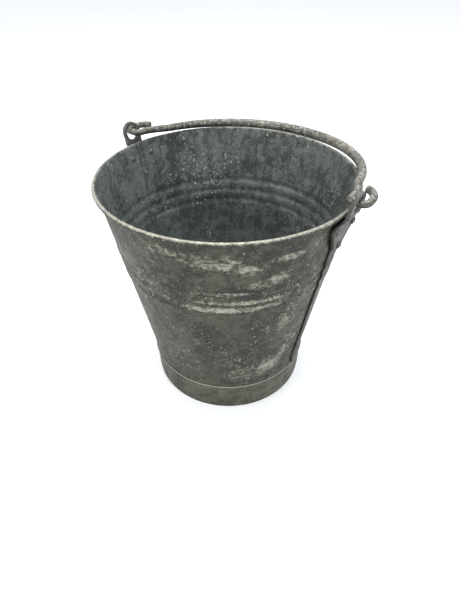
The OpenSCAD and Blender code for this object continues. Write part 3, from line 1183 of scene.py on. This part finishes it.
@dataclass
class Foot:
    """The hoop that the bucket stands on and the bottom inside it."""

    shape: WallShape
    turner: TurnedSheet
    band_height: float
    band_sheet: float = 0.9 * MM
    band_taper: float = 0.4 * MM
    toe_height: float = 8.0 * MM
    toe_in: float = 0.6 * MM
    floor_height: float = 50.0 * MM
    bottom_sheet: float = 1.0 * MM
    flange: float = 12.0 * MM

    def band_radius(self, z: float) -> float:
        """Radius of the band's outer face at a height.

        Args:
            z: the height.

        Returns:
            The radius.
        """
        shape = self.shape
        if z > shape.hem_height:
            return shape.foot_radius + shape.skirt_spread(z)
        toe = self.toe_in * max(0.0, 1 - z / self.toe_height) ** 2
        return shape.foot_radius - (shape.hem_height - z) * self.band_taper / shape.hem_height - toe

    def build_band(self, material: bpy.types.Material) -> bpy.types.Object:
        """Builds the hoop.

        Args:
            material: its finish.

        Returns:
            The finished piece.
        """
        hem, toe = self.shape.hem_height, self.toe_height
        heights = [toe * i / 10 for i in range(11)] + [toe + (hem - toe) * i / 12 for i in range(1, 13)]
        heights.append(self.band_height)
        rows: list[Row] = []
        for z in heights:
            # A painted shadow line on the band just under the hem, and darker towards the band's lower edge;
            # the inner face is darker throughout.
            shade_and_dirt = 0.95 * near(z, hem, 1.1 * MM) + 0.35 * near(z, 0.0, 5 * MM)
            rows.append((self.band_radius(z), z, 0.0, 0.25 * near(z, hem - 2 * MM, MM), shade_and_dirt))
        rows += [(self.band_radius(z) - self.band_sheet, z, 0.6, 0.0, 0.5) for z in reversed(heights)]
        piece = self.turner.build("foot_hoop", rows, 0.0, 2 * math.pi, SEED, material)
        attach(piece, BUCKET)
        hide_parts("foot_band")
        return piece

    def build_bottom(self, material: bpy.types.Material) -> bpy.types.Object:
        """Builds the flanged bottom.

        Args:
            material: its finish.

        Returns:
            The finished piece.
        """
        foot = self.floor_height - self.bottom_sheet - self.flange
        edge = self.band_radius(min(foot, self.shape.hem_height)) - self.band_sheet - self.shape.foot_fit
        bend = 2 * self.bottom_sheet
        corner = (edge - bend, self.floor_height - bend)
        radii = [edge * i / 24 for i in range(24) if edge * i / 24 < edge - bend]
        section = [(r, self.floor_height) for r in radii] + arc(*corner, bend, range(90, -1, -10))
        section += [(edge, foot), (edge - self.bottom_sheet, foot)]
        section += arc(*corner, bend - self.bottom_sheet, range(0, 91, 10))
        section += [(r, self.floor_height - self.bottom_sheet) for r in reversed(radii)]
        rows: list[Row] = []
        for radius, z in section:
            # Darker all over, and more so towards the edge.
            shade_and_dirt = 0.2 + 0.5 * min(1.0, max(0.0, 1 + (radius - edge) / self.flange))
            rows.append((max(radius, 1e-7), z, 1.0, 0.0, shade_and_dirt))
        piece = self.turner.build("bottom_plate", rows, 0.0, 2 * math.pi, BOTTOM_SEED, material)
        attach(piece, BUCKET)
        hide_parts("bottom")
        return piece


@dataclass
class Ears:
    """The two cast ears: softened, slightly uneven copies of their exact shapes."""

    voxel: float = 0.55 * MM
    rounds: int = 5
    unevenness: float = 0.25 * MM

    def build(self, side: Side, material: bpy.types.Material) -> bpy.types.Object:
        """Builds one ear.

        Args:
            side: which ear.
            material: its finish.

        Returns:
            The finished piece.
        """
        node = "ear_right" if side is Side.RIGHT else "ear_left"
        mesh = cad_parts[node].data.copy()
        mesh.materials.clear()
        piece = Meshes.place(node + "_casting", mesh)
        Meshes.tidy(piece)
        remesh = piece.modifiers.new("cast", "REMESH")
        remesh.mode = "VOXEL"
        remesh.voxel_size = self.voxel
        smooth = piece.modifiers.new("soften", "SMOOTH")
        smooth.factor = 0.5
        smooth.iterations = self.rounds
        texture = bpy.data.textures.new(node + "_skin", "CLOUDS")
        texture.noise_scale = 6 * MM
        skin = piece.modifiers.new("skin", "DISPLACE")
        skin.texture = texture
        skin.texture_coords = "LOCAL"
        skin.strength = self.unevenness
        skin.mid_level = 0.6
        depsgraph = bpy.context.evaluated_depsgraph_get()
        result = bpy.data.meshes.new_from_object(piece.evaluated_get(depsgraph))
        piece.modifiers.clear()
        piece.data = result
        piece.data.materials.clear()
        piece.data.materials.append(material)
        piece.data.shade_smooth()
        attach(piece, BUCKET)
        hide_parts(node)
        return piece


@dataclass
class Rivets:
    """The six rivets: a domed head on the ear and a hammered one inside, at each place."""

    shape: WallShape
    span: float = 32.0 * MM
    drop: float = 14.0 * MM
    lobe_drop: float = 23.0 * MM
    ear_sheet: float = 4.0 * MM
    fit: float = 0.05 * MM
    head_radius: float = 4.6 * MM
    head_height: float = 2.4 * MM
    tail_radius: float = 3.8 * MM
    tail_height: float = 1.4 * MM
    tree: GeometryTree = field(init=False)

    def __post_init__(self) -> None:
        """Writes the Geometry Nodes tree: one uneven dome on each point."""
        t = GeometryTree("rivet_heads")
        segments = t.input("Segments", "Int")
        uneven = t.input("Unevenness", "Float")
        seed = t.input("Seed", "Int")
        material = t.input("Material", "Material")
        ball = t.add("GeometryNodeMeshUVSphere", {"Segments": segments, "Rings": segments / 2.0,
                                                  "Radius": 1.0})
        here = t.here()
        x, y, z = t.separate(here)
        flat_under = t.combine(x, y, t.math("MAXIMUM", z, -0.12))
        dome = t.add("GeometryNodeSetPosition", {0: ball.outputs[0], 2: flat_under})
        facing = t.named(Channel.FACING.value, "FLOAT_VECTOR")
        turn = t.add("FunctionNodeAlignRotationToVector", {"Vector": facing}, axis="Z").outputs[0]
        vary = t.add("FunctionNodeRandomValue", {0: (0.94, 0.94, 0.9), 1: (1.04, 1.04, 1.05), "Seed": seed},
                     data_type="FLOAT_VECTOR").outputs[0]
        size = t.vector_math("MULTIPLY", a=t.named(Channel.SIZE.value, "FLOAT_VECTOR"), b=vary)
        heads = t.add("GeometryNodeInstanceOnPoints", {"Points": t.source.outputs[0], "Rotation": turn,
                                                       "Instance": dome.outputs[0], "Scale": size})
        real = t.add("GeometryNodeRealizeInstances", {0: heads.outputs[0]}).outputs[0]
        lump = (t.noise(here, Layer(420.0)) - 0.5) * uneven
        t.finish(t.pushed(real, t.add("GeometryNodeInputNormal").outputs[0], lump), material)
        self.tree = t

    def places(self) -> list[tuple[float, float]]:
        """Distance along the ear and height from the middle of the roll, for each rivet of an ear."""
        return [(-self.span / 2, -self.drop), (self.span / 2, -self.drop), (0.0, -self.drop - self.lobe_drop)]

    def build(self, material: bpy.types.Material) -> bpy.types.Object:
        """Builds all the rivet heads as one piece.

        Args:
            material: their finish.

        Returns:
            The finished piece.
        """
        shape = self.shape
        lean = shape.slope_angle
        outwards = Vector((math.cos(lean), 0.0, -math.sin(lean)))
        thick = shape.sheet / math.cos(lean)
        seam = 3 * (thick + self.fit) + self.fit
        points: list[Vector] = []
        facing: list[Vector] = []
        sizes: list[tuple[float, float, float]] = []
        for side in Side:
            spin = Matrix.Rotation(side.turn, 3, "Z")
            for along, height in self.places():
                z = shape.rim_height + height
                head = Vector((shape.straight(z) + seam, along, z)) + outwards * (self.ear_sheet + self.fit)
                inner = math.sqrt((shape.straight(z) - thick) ** 2 - along ** 2)
                tail = Vector((inner - 2 * self.fit, along, z)) - outwards * self.fit
                inwards = Vector((-tail.x, -tail.y, 0.0)).normalized()
                inwards.z = math.sin(lean)
                points += [spin @ head, spin @ tail]
                facing += [spin @ outwards, spin @ inwards.normalized()]
                sizes += [(self.head_radius, self.head_radius, self.head_height),
                          (self.tail_radius, self.tail_radius, self.tail_height)]
        chain = Meshes.polyline("rivet_places", np.array([tuple(p) for p in points]), False, {
            Channel.FACING: np.array([tuple(f) for f in facing]), Channel.SIZE: np.array(sizes)})
        piece = self.tree.run("rivet_heads", chain, {"Segments": 32, "Unevenness": 0.35 * MM, "Seed": 5,
                                                     "Material": material})
        Meshes.tidy(piece, 60.0)
        radius = np.hypot(*Meshes.read(piece.data, "co")[:, :2].T)
        inner = (radius < shape.straight(shape.rim_height - 2 * self.drop)).astype(np.float32)
        Meshes.store(piece.data, dict(zip(FINISH, (inner, 0.25 * (1 - inner), 0 * inner))))
        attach(piece, BUCKET)
        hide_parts(*(f"rivet_{side}_{place}" for side in ("right", "left")
                             for place in ("front", "back", "lower")))
        return piece


@dataclass
class Bail:
    """The swinging handle: one bar swept along its arch and round its two hooks."""

    shape: WallShape
    hook_radius: float = 4.0 * MM
    grip_radius: float = 6.25 * MM
    half_width: float = 140.0 * MM
    reach: float = 165.0 * MM
    rise: float = 20.0 * MM
    flare: float = 38.0 * MM
    bend: float = 6.5 * MM
    arm: float = 5.5 * MM
    arm_gap: float = 4.5 * MM
    tail_gap: float = 0.3 * MM
    tail_bend: float = 18.0 * MM
    tail_curl: float = 75.0
    tail_twist: float = 8.0
    hinge_lift: float = 14.2 * MM
    slip: float = 0.5 * MM
    drop_degrees: float = 3.893
    ear_sheet: float = 4.0 * MM
    ear_off_rim: float = 3.1 * MM
    eye_top: float = 26.0 * MM
    arch_points: int = 220
    tree: GeometryTree = field(init=False)

    def __post_init__(self) -> None:
        """Writes the Geometry Nodes tree: a round bar along a chain of points, with a pitted skin."""
        t = GeometryTree("swept_bar")
        sides = t.input("Sides", "Int")
        pits = t.input("Pit Depth", "Float")
        pit_scale = t.input("Pit Scale", "Float")
        material = t.input("Material", "Material")
        line = t.add("GeometryNodeMeshToCurve", {0: t.source.outputs[0]}).outputs[0]
        thick = t.named(Channel.BAR_RADIUS.value, "FLOAT")
        line = t.add("GeometryNodeSetCurveRadius", {0: line, "Radius": thick}).outputs[0]
        ring = t.add("GeometryNodeCurvePrimitiveCircle", {"Resolution": sides, "Radius": 1.0}).outputs[0]
        radius = t.add("GeometryNodeInputRadius").outputs[0]
        bar = t.add("GeometryNodeCurveToMesh", {"Curve": line, "Profile Curve": ring, "Scale": radius,
                                                "Fill Caps": True}).outputs[0]
        pitted = (t.noise(t.here(), Layer(pit_scale, 4.0, 0.6)) - RIPPLE_REST) * pits
        t.finish(t.pushed(bar, t.add("GeometryNodeInputNormal").outputs[0], pitted), material)
        self.tree = t

    def middle_line(self) -> tuple[np.ndarray, np.ndarray]:
        """The bar's middle line in the bail's plane.

        Returns:
            Rows of x, y away from the hinge line and z out of the plane, and the bar's radius at each.
        """
        back = self.shape.rim_radius + self.shape.roll_radius + self.ear_off_rim
        hook_x = back + self.shape.slope * self.hinge_lift - self.arm_gap - self.hook_radius
        tail_x = (back + self.shape.slope * self.eye_top + self.ear_sheet / math.cos(self.shape.slope_angle)
                  + self.tail_gap + self.slip + self.hook_radius)
        arm_end = self.bend + self.arm
        arch: list[tuple[float, float, float, float]] = []
        depth = self.reach - self.rise
        first = math.asin((arm_end - self.rise) / depth)
        for i in range(self.arch_points):
            share = i / (self.arch_points - 1)
            a = first + (math.pi - 2 * first) * share
            y = self.rise + depth * math.sin(a)
            x = self.half_width * math.cos(a)
            u = min(1.0, max(0.0, (y - arm_end) / self.flare))
            x += (math.copysign(hook_x, x) - x) * (1 - u * u * (3 - 2 * u))
            swell = (self.grip_radius - self.hook_radius) * math.sin(math.pi * share)
            arch.append((x, y, 0.0, self.hook_radius + swell))
        inner = [(hook_x, arm_end - 2 * MM)]
        inner += arc(hook_x + self.bend, self.bend, self.bend, range(180, 271, 9))
        outer = arc(tail_x - self.bend, self.bend, self.bend, range(270, 361, 9))
        shares = (0.0, 0.12, 0.24, 0.36, 0.48, 0.6, 0.72, 0.84, 0.94, 0.985, 0.999, 1.0)
        outer += arc(tail_x - self.tail_bend, self.eye_top - self.hinge_lift, self.tail_bend,
                     [self.tail_curl * share for share in shares])
        twist = math.radians(self.tail_twist)
        hook = [(x, y, 0.0) for x, y in inner]
        hook += [(x, y * math.cos(twist), y * math.sin(twist)) for x, y in outer]
        rounding = (0.98, 0.93, 0.86)
        radii = [self.hook_radius * k for k in (1.0,) * (len(hook) - len(rounding)) + rounding]
        right = [(*point, r) for point, r in zip(hook, radii)]
        left = [(-x, y, z, r) for x, y, z, r in right]
        table = np.array(right[::-1] + arch + left)
        return table[:, :3], table[:, 3]

    def build(self, material: bpy.types.Material) -> bpy.types.Object:
        """Builds the bail at its folded place.

        Args:
            material: its finish.

        Returns:
            The finished piece.
        """
        flat, radii = self.middle_line()
        drop = math.radians(self.drop_degrees)
        hinge = self.shape.rim_height + self.hinge_lift
        x, y, z = flat.T
        points = np.column_stack([x + self.slip, y * math.cos(drop) + z * math.sin(drop),
                                  hinge - y * math.sin(drop) + z * math.cos(drop)])
        chain = Meshes.polyline("bail_line", points, False, {Channel.BAR_RADIUS: radii})
        piece = self.tree.run("bail_bar", chain, {"Sides": 48, "Pit Depth": 0.5 * MM, "Pit Scale": 260.0,
                                                  "Material": material})
        Meshes.tidy(piece, 45.0)
        self.shade(piece)
        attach(piece, BAIL)
        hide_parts("bail")
        return piece

    def shade(self, piece: bpy.types.Object) -> None:
        """Stores a lighter rub on the bar's upper faces, partly where hands and weather have rubbed it and
        partly a painted highlight, and painted shade on its underside.
        """
        up = Meshes.read(piece.data, "normal")[:, 2]
        # Upward faces are lighter, partly worn and partly a painted highlight; downward faces get painted
        # shade.
        wear_and_highlight = 0.36 * np.clip(up, 0, 1)
        Meshes.store(piece.data, dict(zip(FINISH, (0 * up, wear_and_highlight, np.clip(0.15 - 1.5 * up, 0, 1)))))


@dataclass
class Studio:
    """A plain pale floor, soft lamps and the camera."""

    eye: Place = (0.295966, -0.367221, 0.505924)
    ahead: Place = (-0.46932109, 0.58802221, -0.65876217)
    above: Place = (-0.40575687, 0.51899303, 0.75233476)
    focal_mm: float = 25.12
    floor_glow: float = 0.22

    def build_camera(self) -> bpy.types.Object:
        """Makes the scene's camera.

        Returns:
            The camera.
        """
        data = bpy.data.cameras.new("camera")
        data.lens = self.focal_mm
        data.sensor_width = 36.0
        data.clip_start, data.clip_end = 0.01, 50.0
        camera = bpy.data.objects.new("camera", data)
        bpy.context.scene.collection.objects.link(camera)
        back = -Vector(self.ahead).normalized()
        right = Vector(self.above).cross(back).normalized()
        up = back.cross(right)
        turn = Matrix((right, up, back)).transposed().to_4x4()
        camera.matrix_world = Matrix.Translation(self.eye) @ turn
        bpy.context.scene.camera = camera
        return camera

    def build_world(self) -> None:
        """White to the eye and in reflections, and a soft sky for the rest of the light."""
        world = bpy.data.worlds.new("world")
        world.use_nodes = True
        tree = ShaderTree(world.node_tree)
        _, _, z = tree.separate(tree.add("ShaderNodeTexCoord").outputs["Generated"])
        sky = tree.mix(tree.fade(z, -0.1, 0.9), (0.16, 0.17, 0.18), (0.85, 0.9, 0.95))
        colour = tree.mix(tree.seen(), sky, (1.0, 1.0, 1.0))
        back = tree.add("ShaderNodeBackground", {0: colour, 1: 1.0})
        tree.add("ShaderNodeOutputWorld", {0: back.outputs[0]})
        bpy.context.scene.world = world

    def build_floor(self) -> bpy.types.Object:
        """Makes the floor, white to the eye and darker to the light that it would throw back up.

        Returns:
            The floor.
        """
        work = bmesh.new()
        bmesh.ops.create_circle(work, cap_ends=True, segments=96, radius=9.0)
        mesh = bpy.data.meshes.new("floor")
        work.to_mesh(mesh)
        work.free()
        floor = Meshes.place("floor", mesh)
        material, tree = new_material("floor_paper")
        point = tree.add("ShaderNodeTexCoord").outputs["Object"]
        tint = tree.mix(tree.noise(point, Layer(3.0)), (0.93, 0.93, 0.93), (0.95, 0.95, 0.95))
        shader = tree.add("ShaderNodeBsdfDiffuse", {0: tree.mix(tree.seen(), (0.3, 0.3, 0.3), tint)})
        viewed = Value(tree, tree.add("ShaderNodeLightPath").outputs["Is Camera Ray"])
        glow = tree.add("ShaderNodeEmission", {0: (1.0, 1.0, 1.0, 1.0), 1: viewed * self.floor_glow})
        both = tree.add("ShaderNodeAddShader", {0: shader.outputs[0], 1: glow.outputs[0]})
        tree.add("ShaderNodeOutputMaterial", {0: both.outputs[0]})
        mesh.materials.append(material)
        return floor

    def build_lamp(self, name: str, place: Place, aim: Place, size: float, power: float, tint: Colour) -> None:
        """Makes one soft square lamp.

        Args:
            name: its name.
            place: where it hangs.
            aim: the point that it faces.
            size: the length of its side.
            power: its power in watts.
            tint: the colour of its light.
        """
        data = bpy.data.lights.new(name, "AREA")
        data.size = size
        data.energy = power
        data.color = tint
        lamp = bpy.data.objects.new(name, data)
        bpy.context.scene.collection.objects.link(lamp)
        lamp.location = place
        lamp.rotation_euler = (Vector(aim) - Vector(place)).to_track_quat("-Z", "Y").to_euler()

    def build(self) -> None:
        """Builds the whole studio."""
        scene = bpy.context.scene
        scene.view_settings.view_transform = "Standard"
        self.build_camera()
        self.build_world()
        self.build_floor()
        middle = (0.0, 0.0, 0.15)
        self.build_lamp("top_lamp", (-0.2, 0.3, 2.2), middle, 1.6, 42.0, (1.0, 0.99, 0.97))
        self.build_lamp("front_lamp", (-0.9, -1.9, 1.3), middle, 1.2, 18.0, (1.0, 0.98, 0.94))
        self.build_lamp("side_lamp", (1.9, -0.2, 1.2), middle, 1.0, 12.0, (0.93, 0.97, 1.0))


# The first colour of each set is the dark that painted shade is blended towards.
OUTSIDE = Tones(shade_and_dirt=(0.010, 0.010, 0.008), dark=(0.026, 0.026, 0.019), middle=(0.092, 0.090, 0.065),
                flake=(0.225, 0.217, 0.168), bare=(0.50, 0.49, 0.42))
INSIDE = Tones(shade_and_dirt=(0.014, 0.016, 0.015), dark=(0.060, 0.069, 0.064), middle=(0.190, 0.212, 0.202),
               flake=(0.30, 0.32, 0.30), bare=(0.62, 0.65, 0.61))
FOOT = Tones(shade_and_dirt=(0.013, 0.013, 0.010), dark=(0.060, 0.058, 0.043), middle=(0.155, 0.146, 0.110),
             flake=(0.22, 0.205, 0.16), bare=(0.40, 0.385, 0.33))
HANDLE = Tones(shade_and_dirt=(0.008, 0.009, 0.010), dark=(0.060, 0.059, 0.052), middle=(0.215, 0.205, 0.175),
               flake=(0.32, 0.305, 0.265), bare=(0.55, 0.54, 0.49))
RIVET = Tones(shade_and_dirt=(0.012, 0.012, 0.010), dark=(0.05, 0.05, 0.045), middle=(0.16, 0.158, 0.14),
              flake=(0.25, 0.24, 0.21), bare=(0.42, 0.41, 0.37))

PLACES = (
    WornPlace(-61.0, 0.2735, 0.034, 0.012, 1.0),
    WornPlace(-78.0, 0.2790, 0.016, 0.006, 1.0),
    WornPlace(-48.0, 0.2660, 0.022, 0.009, 0.8),
    WornPlace(-27.0, 0.2705, 0.022, 0.005, 1.2),
    WornPlace(-10.0, 0.2780, 0.014, 0.012, 1.0),
    WornPlace(-43.0, 0.2600, 0.012, 0.008, 1.0),
    WornPlace(-37.0, 0.2390, 0.020, 0.007, 1.1),
    WornPlace(-27.0, 0.2460, 0.016, 0.010, 0.9),
    WornPlace(-52.0, 0.2035, 0.066, 0.0045, 1.5),
    WornPlace(-42.0, 0.2150, 0.056, 0.0035, 1.3),
    WornPlace(-52.0, 0.2290, 0.034, 0.0025, 1.0),
    # These three lower patches are partly flaking and partly painted light, where the upright lower wall
    # catches more light.
    WornPlace(-36.0, 0.0740, 0.040, 0.018, 1.0),
    WornPlace(-50.0, 0.1020, 0.022, 0.012, 0.8),
    WornPlace(-22.0, 0.0900, 0.022, 0.020, 0.9),
    WornPlace(-19.0, 0.1700, 0.016, 0.026, 0.9),
    WornPlace(-12.0, 0.1200, 0.014, 0.030, 0.9),
    WornPlace(-8.0, 0.2150, 0.010, 0.030, 0.7),
    WornPlace(64.0, 0.2050, 0.050, 0.005, 1.1),
    WornPlace(118.0, 0.2680, 0.036, 0.012, 0.9),
    WornPlace(150.0, 0.1300, 0.030, 0.040, 0.7),
    WornPlace(86.0, 0.0900, 0.036, 0.016, 0.8),
    WornPlace(-140.0, 0.2030, 0.046, 0.005, 1.1),
    WornPlace(-150.0, 0.1000, 0.030, 0.020, 0.8),
)

DENTS = (
    Dent(-58.0, 0.150, 0.040, 0.030, 0.0006),
    Dent(-20.0, 0.205, 0.026, 0.022, 0.0005),
    Dent(-98.0, 0.110, 0.030, 0.028, 0.0007),
    Dent(40.0, 0.160, 0.036, 0.026, 0.0008),
    Dent(128.0, 0.120, 0.028, 0.030, 0.0007),
    Dent(-150.0, 0.240, 0.030, 0.018, 0.0005),
)


def body_shape() -> WallShape:
    """The body's rule, with its rim and foot taken from the frame.

    Returns:
        The rule.
    """
    low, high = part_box("rim_wire")
    wire = (high[2] - low[2]) / 2
    _, band_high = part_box("foot_band")
    shape = WallShape(rim_radius=high[0] - wire, rim_height=(low[2] + high[2]) / 2, foot_radius=band_high[0],
                      dents=DENTS)
    return replace(shape, foot_radius=band_high[0] - shape.skirt_spread(band_high[2]))


def report(piece: bpy.types.Object) -> None:
    """Logs a piece's name and size."""
    LOG.info("%s: %d points, %d faces", piece.name, len(piece.data.vertices), len(piece.data.polygons))


def main() -> None:
    """Builds every piece on the frame."""
    logging.basicConfig(level=logging.INFO, format="%(name)s: %(message)s")
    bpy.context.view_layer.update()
    body = ZincFinish("body_zinc_skin", OUTSIDE, INSIDE, places=PLACES, seam_lines=True).material()
    bottom = ZincFinish("bottom_zinc_skin", OUTSIDE, INSIDE, speck_level=0.56).material()
    foot = ZincFinish("foot_zinc_skin", FOOT, INSIDE, mottle_scale=48.0, flake_level=0.66,
                      speck_level=0.6).material()
    handle = ZincFinish("bail_zinc_skin", HANDLE, HANDLE, mottle_scale=170.0, flake_level=0.6,
                        speck_level=0.42, metallic=0.3).material()
    iron = IronFinish("ear_iron_skin").material()
    steel = ZincFinish("rivet_steel_skin", RIVET, INSIDE, mottle_scale=150.0).material()
    wire = IronFinish("wire_steel_skin", middle=(0.16, 0.16, 0.15)).material()

    shape = body_shape()
    turner = TurnedSheet()
    sheets = BodySheets(shape, turner)
    hoop = Foot(shape, turner, band_height=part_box("foot_band")[1][2])
    ears = Ears()
    report(sheets.build("front_sheet", "wall_front", Side.RIGHT, body))
    report(sheets.build("back_sheet", "wall_back", Side.LEFT, body))
    report(hoop.build_band(foot))
    report(hoop.build_bottom(bottom))
    for side in Side:
        report(ears.build(side, iron))
    report(Rivets(shape).build(steel))
    report(Bail(shape).build(handle))

    rim_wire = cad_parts["rim_wire"]
    rim_wire.data.materials.clear()
    rim_wire.data.materials.append(wire)
    report(rim_wire)

    Studio().build()


if __name__ == "__main__":
    main()
